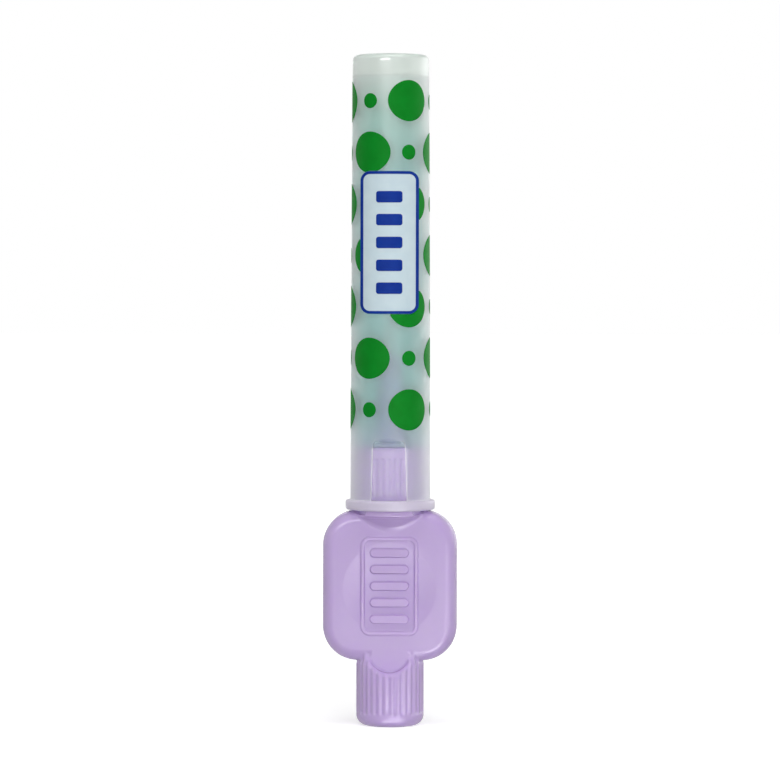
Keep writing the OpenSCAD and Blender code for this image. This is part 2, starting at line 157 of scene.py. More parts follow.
# What each chart shows past its motif, and how far a grid's crossing stays from its corners
PANEL_MARGIN, MARGIN_X, MARGIN_H, TAPER_SLACK = 0.5, 0.3, 0.2, 0.3
NEAR_ZERO, LEAST_SHARE = 1e-5, 0.02


# Mesh helpers
def make_piece(name, verts, faces):
    """A smooth mesh object from points in mm."""
    mesh = bpy.data.meshes.new(name)
    mesh.from_pydata((np.asarray(verts, float) * MM).tolist(), [], [list(f) for f in faces])
    mesh.validate()
    mesh.shade_smooth()
    piece = bpy.data.objects.new(name, mesh)
    bpy.context.scene.collection.objects.link(piece)
    return piece


def smin(a, b, k):
    """The lesser of two distances, blended where they are less than k apart."""
    h = np.clip(0.5 + 0.5 * (b - a) / k, 0, 1)
    return b * (1 - h) + a * h - k * h * (1 - h)


def smax(a, b, k):
    return -smin(-a, -b, k)


def smooth_step(lo, hi, x):
    t = np.clip((x - lo) / (hi - lo), 0, 1)
    return t * t * (3 - 2 * t)


def round_rect(x, z, w, h, r):
    """Distance to a rectangle with rounded corners, centred."""
    qx, qz = np.abs(x) - w / 2 + r, np.abs(z) - h / 2 + r
    return np.hypot(np.maximum(qx, 0), np.maximum(qz, 0)) + np.minimum(np.maximum(qx, qz), 0) - r


def corner(a, b, r):
    """Two half spaces met with a rounded edge of radius r."""
    qa, qb = a + r, b + r
    return np.hypot(np.maximum(qa, 0), np.maximum(qb, 0)) + np.minimum(np.maximum(qa, qb), 0) - r


# Handle, as a distance field
def grooves(x, y, depth, half):
    """How deep the surface lies in a groove between two ribs."""
    pitch = 2 * math.pi * BARREL_R / RIBS
    around = np.arctan2(y, x) / (2 * math.pi) * RIBS
    off = np.abs(around - np.round(around)) * pitch
    return depth * (0.5 + 0.5 * np.cos(math.pi * np.clip(off / half, 0, 1)))


def relief(x, z):
    """Height over the plate's flat face: the dish, and the frame and bars on it."""
    far = np.hypot(x, z - DISH_Z)
    dish = DISH_DEPTH * (1 - (far / DISH_R) ** 2)
    dish = 0.5 * (dish + np.sqrt(dish * dish + DISH_SOFT))
    frame_d = round_rect(x, z - PLATE_Z, MARK_W, MARK_H, MARK_CORNER)
    inner_h = MARK_H - 2 * MARK_LINE
    mark = np.maximum(frame_d, -(frame_d + MARK_LINE))
    bar_h = inner_h / (2 * MARK_BARS + 1)
    bar_w = MARK_W - 2 * MARK_LINE - 2 * BAR_SPACE
    for i in range(MARK_BARS):
        bar_z = z - PLATE_Z - (2 * i + 1 - MARK_BARS) * bar_h
        mark = np.minimum(mark, round_rect(x, bar_z, bar_w, bar_h, bar_h / 2))
    m = 1 - smooth_step(-MARK_EDGE, MARK_EDGE, mark)
    return m * MARK_RAISE - (1 - m) * dish


def handle_field(x, y, z):
    """Distance to the handle, less than 0 inside."""
    ay = np.abs(y)
    rho = np.hypot(x, y)

    # Plate
    flat = round_rect(x, z - PLATE_Z, PLATE_W, PLATE_H, PLATE_CORNER)
    plate = corner(flat, ay - PLATE_T / 2 - relief(x, z), PLATE_ROUND)

    # Barrel with its scoops, whose floors run on into the faces of the plate
    wall = rho - BARREL_R + FADE * np.clip((z - WALL_TOP) / FADE_H, 0, 1)
    wall = wall + grooves(x, y, GROOVE_DEPTH, GROOVE_HALF) * smooth_step(*FOOT_RUN, z)
    barrel = corner(wall, -z, BARREL_ROUND)
    slot = np.where(z > SCOOP_Z, np.abs(x), np.hypot(x, z - SCOOP_Z)) - SCOOP_R
    cut = smax(slot, PLATE_T / 2 - ay, SCOOP_FOOT)
    barrel = corner(barrel, -cut, SCOOP_LIP)
    barrel = np.maximum(barrel, z - WALL_TOP - FADE_H)
    side = smooth_step(SCOOP_R - SIDE_IN, SCOOP_R + SIDE_OUT, np.abs(x))
    d = smin(plate, barrel, SCOOP_BLEND + SIDE_BLEND * side)

    # Collar
    low = SEAT_Z - COLLAR_RIM
    slope = 1 / COLLAR_RISE
    cone = rho - COLLAR_R + np.clip(low - z, -CONE_LOW, CONE_LOW) * slope
    d = smin(d, corner(cone / math.hypot(1, slope), z - low, EDGE), CONE_BLEND)
    boss = corner(corner(rho - COLLAR_R, np.abs(x) - BOSS_W / 2, BOSS_SIDE), z - SEAT_Z, EDGE)
    d = smin(d, corner(boss, low - BOSS_FOOT - z, BOSS_FOOT_EDGE), BOSS_BLEND)

    # Plug
    wall = rho - BARREL_R
    mask = smooth_step(SEAT_Z + SEAT_RUN[0], SEAT_Z + SEAT_RUN[1], z)
    mask = mask * (1 - smooth_step(NECK_Z - TOP_RUN[0], NECK_Z - TOP_RUN[1], z))
    wall = wall + grooves(x, y, GROOVE_DEPTH, GROOVE_HALF) * mask
    plug = corner(wall, z - NECK_Z, PLUG_ROUND)
    plug = np.maximum(plug, SEAT_Z - SUNK - z)
    d = smin(d, plug, PLUG_BLEND)

    # Neck
    run = (z - NECK_Z) / NECK_H
    neck = corner(rho - (NECK_R - NECK_DRAW * run), z - NECK_TOP, NECK_EDGE)
    neck = np.maximum(neck, NECK_Z - SUNK - z)
    return smin(d, neck, NECK_BLEND)


CORNERS = np.array([(i, j, k) for i in (0, 1) for j in (0, 1) for k in (0, 1)])
EDGES = [
    (a, b) for a in range(8) for b in range(a + 1, 8)
    if np.abs(CORNERS[a] - CORNERS[b]).sum() == 1
]


def surface(field, low, high, step):
    """Quads over the zero surface of a distance field, by surface nets."""
    low, high = np.array(low, np.float32), np.array(high, np.float32)
    count = np.ceil((high - low) / step).astype(int) + 1
    xs, ys, zs = (low[a] + step * np.arange(count[a], dtype=np.float32) for a in range(3))
    values = np.empty(count, np.float32)
    for k in range(0, count[2], GRID_SLAB):
        z = zs[k:k + GRID_SLAB]
        values[:, :, k:k + GRID_SLAB] = field(xs[:, None, None], ys[None, :, None], z[None, None, :])
    inside = values < 0
    total = np.zeros(count - 1, np.int8)
    for i, j, k in CORNERS:
        total += inside[i:count[0] - 1 + i, j:count[1] - 1 + j, k:count[2] - 1 + k]
    cells = np.argwhere((total > 0) & (total < 8))
    index = np.full(count - 1, -1, np.int64)
    index[tuple(cells.T)] = np.arange(len(cells))

    # One point in each cell that the surface crosses
    at = [values[tuple((cells + c).T)] for c in CORNERS]
    place, hits = np.zeros((len(cells), 3)), np.zeros(len(cells))
    for a, b in EDGES:
        crosses = (at[a] < 0) != (at[b] < 0)
        share = np.where(crosses, at[a] / np.where(crosses, at[a] - at[b], 1), 0)
        point = CORNERS[a] + share[:, None] * (CORNERS[b] - CORNERS[a])
        place[crosses] += point[crosses]
        hits += crosses
    verts = low + step * (cells + place / hits[:, None])

    # One quad for each edge of the grid that it crosses
    faces = []
    for axis in range(3):
        u, v = (axis + 1) % 3, (axis + 2) % 3
        first = np.take(inside, range(count[axis] - 1), axis)
        second = np.take(inside, range(1, count[axis]), axis)
        du, dv = np.eye(3, dtype=int)[u], np.eye(3, dtype=int)[v]
        for flip, change in ((False, first & ~second), (True, ~first & second)):
            e = np.argwhere(change)
            e = e[(e[:, u] > 0) & (e[:, v] > 0) & (e[:, u] < count[u] - 1) & (e[:, v] < count[v] - 1)]
            quad = [index[tuple((e - s).T)] for s in (du + dv, dv, 0 * du, du)]
            faces.append(np.stack(quad[::-1] if flip else quad, 1))
    return verts, np.concatenate(faces)


def gradient(field, p, e=0.02):
    x, y, z = p.T
    return np.stack([
        field(x + e, y, z) - field(x - e, y, z),
        field(x, y + e, z) - field(x, y - e, z),
        field(x, y, z + e) - field(x, y, z - e),
    ], 1) / (2 * e)


def onto(field, p, rounds=3, least_slope=0.2, most_move=0.05):
    """Points moved onto the zero surface, with its normals."""
    for _ in range(rounds):
        g = gradient(field, p)
        d = field(*p.T)
        move = (d / np.maximum((g * g).sum(1), least_slope))[:, None] * g
        p = p - np.clip(move, -most_move, most_move)
    g = gradient(field, p)
    return p, g / np.maximum(np.linalg.norm(g, axis=1, keepdims=True), 1e-9)


def build_handle():
    verts, faces = surface(handle_field, GRID_LOW, GRID_HIGH, GRID_STEP)
    verts, normals = onto(handle_field, verts)
    piece = make_piece("grip_moulding", verts, faces)
    triangles = 2 * len(faces)
    if triangles > MOST_TRIANGLES:
        thin = piece.modifiers.new("thin", "DECIMATE")
        thin.ratio = MOST_TRIANGLES / triangles
        thin.use_collapse_triangulate = True
        dg = bpy.context.evaluated_depsgraph_get()
        mesh = bpy.data.meshes.new_from_object(piece.evaluated_get(dg))
        piece.modifiers.clear()
        old, piece.data = piece.data, mesh
        bpy.data.meshes.remove(old)
        mesh.name = "grip_moulding"
        co = np.empty(len(mesh.vertices) * 3, np.float32)
        mesh.vertices.foreach_get("co", co)
        verts, normals = onto(handle_field, co.reshape(-1, 3).astype(float) / MM, 2)
        mesh.vertices.foreach_set("co", (verts * MM).astype(np.float32).ravel())
        mesh.update()
    piece.data.shade_smooth()
    piece.data.normals_split_custom_set_from_vertices(normals.tolist())
    return piece


# Wire and bristles
def leg(z):
    """Direction from the wire's middle to its first leg at a height."""
    a = 2 * math.pi * z / TWIST
    return np.array([math.cos(a), math.sin(a), 0.0])


def wire_line(rings_per_turn=20, tip_steps=14):
    """Middle line of the wire: up one leg, over the tip and down the other."""
    steps = math.ceil(rings_per_turn * (WIRE_TOP - WIRE_LOW) / TWIST)
    zs = [WIRE_LOW + (WIRE_TOP - WIRE_LOW) * i / steps for i in range(steps + 1)]
    line = [STRAND * leg(z) + (0, 0, z) for z in zs]
    for i in range(1, tip_steps):
        a = math.pi * i / tip_steps
        z = WIRE_TOP + STRAND * math.sin(a)
        line.append(STRAND * math.cos(a) * leg(z) + (0, 0, z))
    line += [-STRAND * leg(z) + (0, 0, z) for z in zs[::-1]]
    return np.array(line)


def tube(line, r, sides):
    """Closed tube round a line of points, with flat ends."""
    n = len(line)
    along = np.gradient(line, axis=0)
    along /= np.linalg.norm(along, axis=1)[:, None]
    core = np.stack([0 * line[:, 0], 0 * line[:, 0], np.minimum(line[:, 2], WIRE_TOP)], 1)
    side = np.cross(along, line - core)
    side /= np.linalg.norm(side, axis=1)[:, None]
    out = np.cross(side, along)
    a = 2 * math.pi * np.arange(sides) / sides
    cos, sin = np.cos(a)[None, :, None], np.sin(a)[None, :, None]
    verts = (line[:, None] + r * (cos * out[:, None] + sin * side[:, None])).reshape(-1, 3)
    faces = []
    for i in range(n - 1):
        for k in range(sides):
            p, q = i * sides + k, i * sides + (k + 1) % sides
            faces.append((p, p + sides, q + sides, q))
    faces.append(list(range(sides)))
    faces.append([(n - 1) * sides + k for k in range(sides)][::-1])
    return verts, faces


def build_bristles():
    """Filaments clamped between the legs of the wire, fanned out along the helix."""
    rng = np.random.default_rng(FILAMENT_SEED)
    verts, faces = [], []
    sides, rings = FILAMENT_SIDES, FILAMENT_RINGS
    up = np.array([0, 0, 1])
    for n in range(FILAMENTS):
        z = BRUSH_Z + BRUSH_L * (n + rng.uniform(0, 1)) / FILAMENTS
        turn = 360 * z / TWIST + 90 + (180 if n % 2 else 0) + rng.normal(0, FAN)
        a = math.radians(turn)
        rise = rng.normal(0, RISE)
        reach = BRUSH_R * rng.uniform(SHORTEST, 1.0)
        bend = rng.normal(0, BEND)
        sag = rng.normal(0, SAG)
        out = np.array([math.cos(a), math.sin(a), 0])
        side = np.array([-math.sin(a), math.cos(a), 0])
        base = len(verts)
        for i in range(rings + 1):
            t = i / rings
            s = FILAMENT_START + (reach - FILAMENT_START) * t
            high = np.array([0, 0, z + (rise * t + sag * t * t) * reach])
            p = out * s + side * bend * t * t * reach + high
            far = math.hypot(p[0], p[1])
            if far > BRUSH_R:
                p[:2] *= BRUSH_R / far
            r = FILAMENT_R * (1 - FILAMENT_TAPER * t) * (FILAMENT_TIP if i == rings else 1)
            for k in range(sides):
                b = 2 * math.pi * (k + 0.5) / sides
                verts.append(p + r * (math.cos(b) * side + math.sin(b) * up))
        for i in range(rings):
            for k in range(sides):
                p, q = base + i * sides + k, base + i * sides + (k + 1) % sides
                faces.append((p, q, q + sides, p + sides))
        faces.append([base + k for k in range(sides)][::-1])
        faces.append([base + rings * sides + k for k in range(sides)])
    return make_piece("brush_filaments", np.array(verts), faces)


# Cap
def cap_r(h):
    """Outer radius of the cap at a height over its seat."""
    return CAP_R - CAP_TAPER * np.asarray(h) / CAP_H


def arc(cx, cz, r, start, end, steps):
    angles = [math.radians(start + (end - start) * i / steps) for i in range(steps + 1)]
    return [(cx + r * math.cos(a), cz + r * math.sin(a)) for a in angles]


def cap_profile():
    """Half outline of the cap from the middle of its top down the outside and up the bore."""
    top_r = float(cap_r(CAP_H))
    pts = [(r, CAP_H) for r in np.linspace(0.0, top_r - CAP_ROUND, 9)[1:-1]]
    pts += arc(top_r - CAP_ROUND, CAP_H - CAP_ROUND, CAP_ROUND, 90, 2, 10)
    hs = list(np.arange(CAP_H - CAP_ROUND - RING_FIRST, RING_CHANGE + RING_STOP, -RING_COARSE))
    hs += list(np.arange(RING_CHANGE, FLANGE_T + RING_LAST, -RING_FINE))
    pts += [(float(cap_r(h)), float(h)) for h in hs]
    foot_r = float(cap_r(FLANGE_T)) + FLANGE_FILLET
    pts += arc(foot_r, FLANGE_T + FLANGE_FILLET, FLANGE_FILLET, 180, 270, 4)
    reach = CAP_R + FLANGE_REACH
    pts += [(reach - FLANGE_ROUND - FLANGE_LEAD, FLANGE_T)]
    pts += arc(reach - FLANGE_ROUND, FLANGE_T - FLANGE_ROUND, FLANGE_ROUND, 90, 0, 8)
    pts += arc(reach - FLANGE_ROUND, FLANGE_ROUND, FLANGE_ROUND, 0, -90, 8)
    pts += [(BORE_R + out, 0.0) for out in MOUTH_RINGS]
    pts += arc(BORE_R + MOUTH_ROUND, MOUTH_ROUND, MOUTH_ROUND, 270, 180, 5)[1:]
    pts += [(BORE_R, h) for h in BORE_RINGS]
    top = CAP_H - CAP_END
    slope = CAP_TAPER / (top - BORE_H)
    hs = np.linspace(BORE_H, top - CAVITY_ROUND, 34)
    pts += [(BORE_R - slope * (h - BORE_H), h) for h in hs]
    end_r = BORE_R - CAP_TAPER
    pts += arc(end_r - CAVITY_ROUND, top - CAVITY_ROUND, CAVITY_ROUND, 0, 90, 8)[1:]
    pts += [(r, top) for r in np.linspace(end_r - CAVITY_ROUND, 0.0, 7)[1:-1]]
    return pts


def with_flats(rr, a, h):
    """Radii of a ring of the cap's outside, cut in by the flats where they reach."""
    up = max(0.0, h - FLANGE_T - FLAT_H)
    if up >= FLAT_RUN:
        return rr
    wall_y = FLAT_Y + FLAT_LEAN * (h - FLANGE_T) + FLAT_RUN - math.sqrt(FLAT_RUN ** 2 - up ** 2)
    flat = wall_y / np.maximum(np.abs(np.sin(a)), 1e-6)
    return smin(rr, np.minimum(flat, 50), FLAT_EDGE)


def build_cap():
    """One closed shell. Its hollow above the bore takes the second material, but for the windows."""
    pts = cap_profile()
    cols = CAP_COLUMNS
    a = 2 * math.pi * np.arange(cols) / cols
    verts, faces = [(0, 0, CAP_H)], []
    for r, h in pts:
        rr = np.full(cols, float(r))
        if FLANGE_T + SLIVER < h < FLAT_LAST and r > BORE_R + OUT_BY:
            rr = with_flats(rr, a, h)
        verts += [(rr[k] * math.cos(a[k]), rr[k] * math.sin(a[k]), h) for k in range(cols)]
    verts.append((0, 0, CAP_H - CAP_END))
    last = len(verts) - 1
    for k in range(cols):
        n = (k + 1) % cols
        faces.append((0, 1 + k, 1 + n))
        for i in range(len(pts) - 1):
            p, q = 1 + i * cols + k, 1 + i * cols + n
            faces.append((p, p + cols, q + cols, q))
        b = 1 + (len(pts) - 1) * cols
        faces.append((b + k, last, b + n))
    verts = np.array(verts, float) + (0, 0, SEAT_Z)
    piece = make_piece("cover_shell", verts, faces)
    for f in piece.data.polygons:
        x, y, z = f.center / MM
        inside = math.hypot(x, y) < float(cap_r(z - SEAT_Z)) - IN_BY
        hollow = SEAT_Z + UP_BY < z < CAVITY_TOP + SLIVER
        window = abs(x) < WINDOW_X and z < WINDOW_BORE_TOP
        f.material_index = int(inside and hollow and not window)
    return piece


# Print, as films wrapped round the cap
def outline(value, s, h):
    """Polygons over the part of a grid where value < 0, by marching squares."""
    pts, key, polys = [], {}, []

    def vert(i, j, i2=None, j2=None):
        k = (i, j) if i2 is None else (i, j, i2, j2)
        if k not in key:
            if i2 is None:
                p = (s[i], h[j])
            else:
                t = value[i, j] / (value[i, j] - value[i2, j2])
                t = min(max(t, LEAST_SHARE), 1 - LEAST_SHARE)
                p = (s[i] + t * (s[i2] - s[i]), h[j] + t * (h[j2] - h[j]))
            key[k] = len(pts)
            pts.append(p)
        return key[k]

    neg = value < 0
    for i in range(len(s) - 1):
        for j in range(len(h) - 1):
            ring = [(i, j), (i + 1, j), (i + 1, j + 1), (i, j + 1)]
            if not any(neg[c] for c in ring):
                continue
            poly = []
            for c in range(4):
                p, q = ring[c], ring[(c + 1) % 4]
                if neg[p]:
                    poly.append(vert(*p))
                if neg[p] != neg[q]:
                    lo, hi = (p, q) if p < q else (q, p)
                    poly.append(vert(*lo, *hi))
            if len(poly) >= 3:
                polys.append(poly)
    return np.array(pts), polys


def film(region, s_range, h_range, layer, step):
    """Closed film over the part of the cap's chart where region(angle, h) < 0."""
    s = np.arange(s_range[0], s_range[1] + step, step)
    h = np.arange(h_range[0], h_range[1] + step, step)
    around, high = np.meshgrid(s, h, indexing="ij")
    value = region(around / CHART_R, high)
    pts, polys = outline(np.where(np.abs(value) < NEAR_ZERO, NEAR_ZERO, value), s, h)
    if not polys:
        return np.zeros((0, 3)), []
    n = len(pts)
    lift = INK_GAP + layer * (INK_T + INK_GAP)
    angle = pts[:, 0] / CHART_R
    rows = []
    for extra in (lift + INK_T, lift):
        r = cap_r(pts[:, 1]) + extra
        rows.append(np.stack([r * np.sin(angle), -r * np.cos(angle), pts[:, 1] + SEAT_Z], 1))
    faces = list(polys) + [[v + n for v in p[::-1]] for p in polys]
    used = {}
    for p in polys:
        for a, b in zip(p, p[1:] + p[:1]):
            used[(a, b)] = used.get((a, b), 0) + 1
    for (a, b) in used:
        if (b, a) not in used:
            faces.append([a, a + n, b + n, b])
    return np.concatenate(rows), faces


def panel_region(grow=0.0, hole=False):
    def region(angle, h):
        x = cap_r(h) * np.sin(angle)
        w, t = PANEL_W + 2 * grow, PANEL_H + 2 * grow
        d = round_rect(x, h - PANEL_Z - PANEL_H / 2, w, t, PANEL_CORNER + grow)
        if hole:
            d = np.maximum(d, -(d + LINE_W))
        return np.where(np.cos(angle) > 0, d, 9)
    return region


def bar_region(i):
    pitch = (PANEL_H - 2 * LINE_W) / (BARS + 1)
    mid = PANEL_Z + PANEL_H / 2 + (i - (BARS + 1) / 2) * pitch
    w, t = (PANEL_W - 2 * LINE_W) * BAR_SHARE, pitch * BAR_SHARE

    def region(angle, h):
        return round_rect(cap_r(h) * np.sin(angle), h - mid, w, t, BAR_CORNER)
    return region, mid, w, t


def join(parts):
    verts, faces, base = [], [], 0
    for v, f in parts:
        verts.append(v)
        faces += [[i + base for i in p] for p in f]
        base += len(v)
    return np.concatenate(verts), faces


def build_print():
    """The panel, its line and bars, and spots of two sizes in staggered rows."""
    sides = (-PANEL_SPAN, PANEL_SPAN)
    heights = (PANEL_Z - PANEL_MARGIN, PANEL_Z + PANEL_H + PANEL_MARGIN)
    panel = make_piece("ink_panel", *film(panel_region(), sides, heights, 0, INK_STEP))

    parts = [film(panel_region(hole=True), sides, heights, 1, INK_STEP / 2)]
    for i in range(1, BARS + 1):
        region, mid, w, t = bar_region(i)
        sides = (-w / 2 - MARGIN_X, w / 2 + MARGIN_X)
        heights = (mid - t / 2 - MARGIN_H, mid + t / 2 + MARGIN_H)
        parts.append(film(region, sides, heights, 1, INK_STEP))
    lines = make_piece("ink_lines", *join(parts))

    parts = []
    keep_off = panel_region(SPOT_CLEAR)
    for row in range(SPOT_ROWS):
        for i in range(SPOT_COLUMNS):
            at = math.radians((i + 0.5) * 360 / SPOT_COLUMNS)
            r = SPOT_R if (row + i) % 2 == 0 else DOT_R
            mid = SPOT_Z + row * SPOT_RISE

            def region(angle, h, at=at, r=r, mid=mid):
                d = np.hypot(cap_r(h) * np.sin(angle - at), h - mid) - r
                a = (angle + math.pi) % (2 * math.pi) - math.pi
                return np.maximum(d, -keep_off(a, h))
            half = CHART_R * math.asin(r / (CHART_R - TAPER_SLACK)) + MARGIN_X
            sides = (at * CHART_R - half, at * CHART_R + half)
            heights = (mid - r - MARGIN_H, mid + r + MARGIN_H)
            v, f = film(region, sides, heights, 0, INK_STEP)
            if len(f):
                parts.append((v, f))
    return panel, lines, make_piece("ink_spots", *join(parts))


# Node helpers
NOISE_SPAN = 0.3, 0.7


def new_material(name):
    m = bpy.data.materials.new(name)
    m.use_nodes = True
    nt = m.node_tree
    return m, nt, nt.nodes["Principled BSDF"]


def noise(nt, scale, detail, stretch=(1, 1, 1)):
    """Noise in object space, whose scale counts features per metre."""
    where = nt.nodes.new("ShaderNodeTexCoord")
    mapping = nt.nodes.new("ShaderNodeMapping")
    mapping.inputs["Scale"].default_value = stretch
    n = nt.nodes.new("ShaderNodeTexNoise")
    n.inputs["Scale"].default_value = scale
    n.inputs["Detail"].default_value = detail
    n.inputs["Roughness"].default_value = 0.5
    nt.links.new(where.outputs["Object"], mapping.inputs["Vector"])
    nt.links.new(mapping.outputs["Vector"], n.inputs["Vector"])
    return n.outputs["Fac"]


def mottled(nt, source, a, b):
    """A colour that drifts from a to b with a noise."""
    r = nt.nodes.new("ShaderNodeValToRGB")
    for e, pos, col in zip(r.color_ramp.elements, NOISE_SPAN, (a, b)):
        e.position = pos
        e.color = (*col, 1)
    nt.links.new(source, r.inputs["Fac"])
    return r.outputs["Color"]


def value_range(nt, source, lo, hi, from_lo=NOISE_SPAN[0], from_hi=NOISE_SPAN[1]):
    r = nt.nodes.new("ShaderNodeMapRange")
    for k, v in (("From Min", from_lo), ("From Max", from_hi), ("To Min", lo), ("To Max", hi)):
        r.inputs[k].default_value = v
    nt.links.new(source, r.inputs["Value"])
    return r.outputs["Result"]


def share_range(nt, share, lo, hi):
    """From lo to hi as a share goes from 0 to 1."""
    return value_range(nt, share, lo, hi, 0, 1)


def rising(nt, length, low, high, end=1.0):
    """From 0 at low, in mm, to end at high."""
    return value_range(nt, length, 0.0, end, low * MM, high * MM)


def falling(nt, length, low, high):
    """From 1 at low, in mm, to 0 at high."""
    return value_range(nt, length, 1.0, 0.0, low * MM, high * MM)


def mixed(nt, share, a, b):
    n = nt.nodes.new("ShaderNodeMix")
    n.data_type = "RGBA"
    nt.links.new(share, n.inputs["Factor"])
    for socket, source in ((n.inputs[6], a), (n.inputs[7], b)):
        if isinstance(source, tuple):
            socket.default_value = (*source, 1)
        else:
            nt.links.new(source, socket)
    return n.outputs[2]


def math_node(nt, kind, *sources):
    n = nt.nodes.new("ShaderNodeMath")
    n.operation = kind
    for socket, source in zip(n.inputs, sources):
        if isinstance(source, (int, float)):
            socket.default_value = source
        else:
            nt.links.new(source, socket)
    return n.outputs[0]


def finish(nt, p, colours, drift, roughness, polish):
    """Colour and roughness that follow two noises, each given by its scale, detail and stretch."""
    nt.links.new(mottled(nt, noise(nt, *drift), *colours), p.inputs["Base Color"])
    nt.links.new(value_range(nt, noise(nt, *polish), *roughness), p.inputs["Roughness"])


def bump(nt, source, distance, strength, normal=None):
    b = nt.nodes.new("ShaderNodeBump")
    b.inputs["Distance"].default_value = distance
    b.inputs["Strength"].default_value = strength
    nt.links.new(source, b.inputs["Height"])
    if normal is not None:
        nt.links.new(normal, b.inputs["Normal"])
    return b.outputs["Normal"]


def object_place(nt):
    """Separated coordinates of the point, in metres."""
    where = nt.nodes.new("ShaderNodeTexCoord")
    part = nt.nodes.new("ShaderNodeSeparateXYZ")
    nt.links.new(where.outputs["Object"], part.inputs["Vector"])
    return part.outputs


def srgb(*c):
    return tuple(((v / 255 + 0.055) / 1.055) ** 2.4 if v > 10 else v / 255 / 12.92 for v in c)


# Materials
WHITE = (1, 1, 1)
LILAC = srgb(200, 176, 225), srgb(202, 179, 227)
SHELL = srgb(245, 249, 248), srgb(250, 253, 252)
# Colours of the windows: darker and greyer at their foot by the flange, a painted shade, and clear
# above
PANE_SHADED, PANE = srgb(228, 226, 236), srgb(243, 246, 245)
# The flange's colour is a painted lilac, for the light of the lilac handle seen through it
FLANGE_PAINTED_LILAC, SHELL_END = srgb(236, 229, 246), srgb(229, 238, 232)
# The hollow's colours are painted shade, a darker teal-grey where little light comes through, paler
# towards the closed end
HOLLOW_SHADE, HOLLOW_SHADE_TOP = (srgb(112, 187, 182), srgb(118, 191, 186)), srgb(166, 212, 191)
# In the bore: a painted lilac for the plug's light showing through, and a painted blue-grey shade
# just above the plug
PAINTED_PLUG_LIGHT, PAINTED_SHADE_OVER_PLUG = srgb(208, 204, 219), srgb(150, 182, 196)
STEEL = (0.55, 0.56, 0.58), (0.68, 0.69, 0.71)
SLEEVE = srgb(226, 224, 233), srgb(236, 235, 242)
NYLON = srgb(232, 228, 240), srgb(243, 241, 248)
PALE_INK = srgb(214, 234, 243), srgb(222, 240, 247)
DARK_INK = srgb(10, 48, 146), srgb(16, 58, 158)
GREEN_INK = srgb(0, 130, 30), srgb(1, 139, 35)
PAPER = (0.80, 0.80, 0.80), (0.82, 0.82, 0.82)
PLASTIC_IOR = 1.45

# Transmission of the shell and its windows, and what the flange, the solid end and the painted
# highlight line at the windows' sides take off it
SHELL_CLEAR, WINDOW_CLEAR = 0.81, 0.96
FLANGE_MILK, END_MILK, HIGHLIGHT_MILK = -0.45, -0.42, 0.3

# Roughness of the shell, which stays over 0.28 away from the windows because the denoiser leaves
# speckles below that, and what the windows take off it
SHELL_ROUGH, WINDOW_POLISH = (0.285, 0.31), -0.17

# Heights over which the shell and the hollow change their looks and their painted light and shade
FLANGE_SPAN, PANE_SHADE_SPAN = (FLANGE_Z, FLANGE_Z + 0.1), (FLANGE_Z, FLANGE_Z + 1.1)
END_SPAN = CAVITY_TOP - 0.5, CAVITY_TOP + 0.1
MILK_SPAN = CAVITY_TOP - 5, CAVITY_TOP
GLOSS_SPAN = SEAT_Z + CAP_H - 0.55, SEAT_Z + CAP_H - 0.3
PALER_SPAN = 70, 84
# Where the painted plug light gives way to painted shade, and where both fade into the hollow
PLUG_LIGHT_TO_SHADE_SPAN, BORE_PAINT_FADE_SPAN = (NECK_Z - 0.7, NECK_Z + 0.2), (NECK_Z + 0.5, NECK_Z + 3.6)


def lilac_plastic():
    m, nt, p = new_material("lilac_moulding")
    finish(nt, p, LILAC, drift=(130, 2), roughness=(0.21, 0.24), polish=(900, 3))
    p.inputs["IOR"].default_value = 1.48
    p.inputs["Specular IOR Level"].default_value = 0.45
    p.inputs["Subsurface Weight"].default_value = 0.7
    p.inputs["Subsurface Radius"].default_value = (1.0, 0.8, 1.1)
    p.inputs["Subsurface Scale"].default_value = 0.0009
    grain = bump(nt, noise(nt, 9000, 2), distance=0.000006, strength=0.5)
    swell = bump(nt, noise(nt, 260, 2), distance=0.00004, strength=0.35, normal=grain)
    nt.links.new(swell, p.inputs["Normal"])
    return m


def window_masks(nt, x, height):
    """Shares of the window, of the painted highlight line round it and of the flange, over the cap's
    skin.
    """
    drawn = math_node(nt, "SUBTRACT", height, FLANGE_Z * MM)
    drawn = math_node(nt, "MULTIPLY", drawn, WINDOW_DRAW)
    across = math_node(nt, "ADD", math_node(nt, "ABSOLUTE", x), drawn)

    # Distance to the outline, a rectangle drawn in upwards with round upper corners
    side = math_node(nt, "SUBTRACT", across, (WINDOW_X - WINDOW_CORNER) * MM)
    side = math_node(nt, "POWER", math_node(nt, "MAXIMUM", side, 0.0), 2.0)
    rise = math_node(nt, "SUBTRACT", height, (WINDOW_Z - WINDOW_CORNER) * MM)
    rise = math_node(nt, "POWER", math_node(nt, "MAXIMUM", rise, 0.0), 2.0)
    far = math_node(nt, "SQRT", math_node(nt, "ADD", side, rise))
    off = math_node(nt, "SUBTRACT", far, WINDOW_CORNER * MM)

    # The window ends at the flange, and fades out where the neck begins
    above = rising(nt, height, *FLANGE_SPAN)
    window = math_node(nt, "MULTIPLY", falling(nt, off, -WINDOW_SOFT, 0.0), above)
    fade = falling(nt, height, WINDOW_BORE_TOP, WINDOW_FADE_TOP)
    window = math_node(nt, "MULTIPLY", window, fade)

    # The painted highlight line shows at the sides only
    line = falling(nt, math_node(nt, "ABSOLUTE", off), HIGHLIGHT_INNER, HIGHLIGHT_OUTER)
    line = math_node(nt, "MULTIPLY", line, above)
    line = math_node(nt, "MULTIPLY", line, rising(nt, across, HIGHLIGHT_FROM, HIGHLIGHT_FULL))
    return window, line, math_node(nt, "SUBTRACT", 1.0, above)


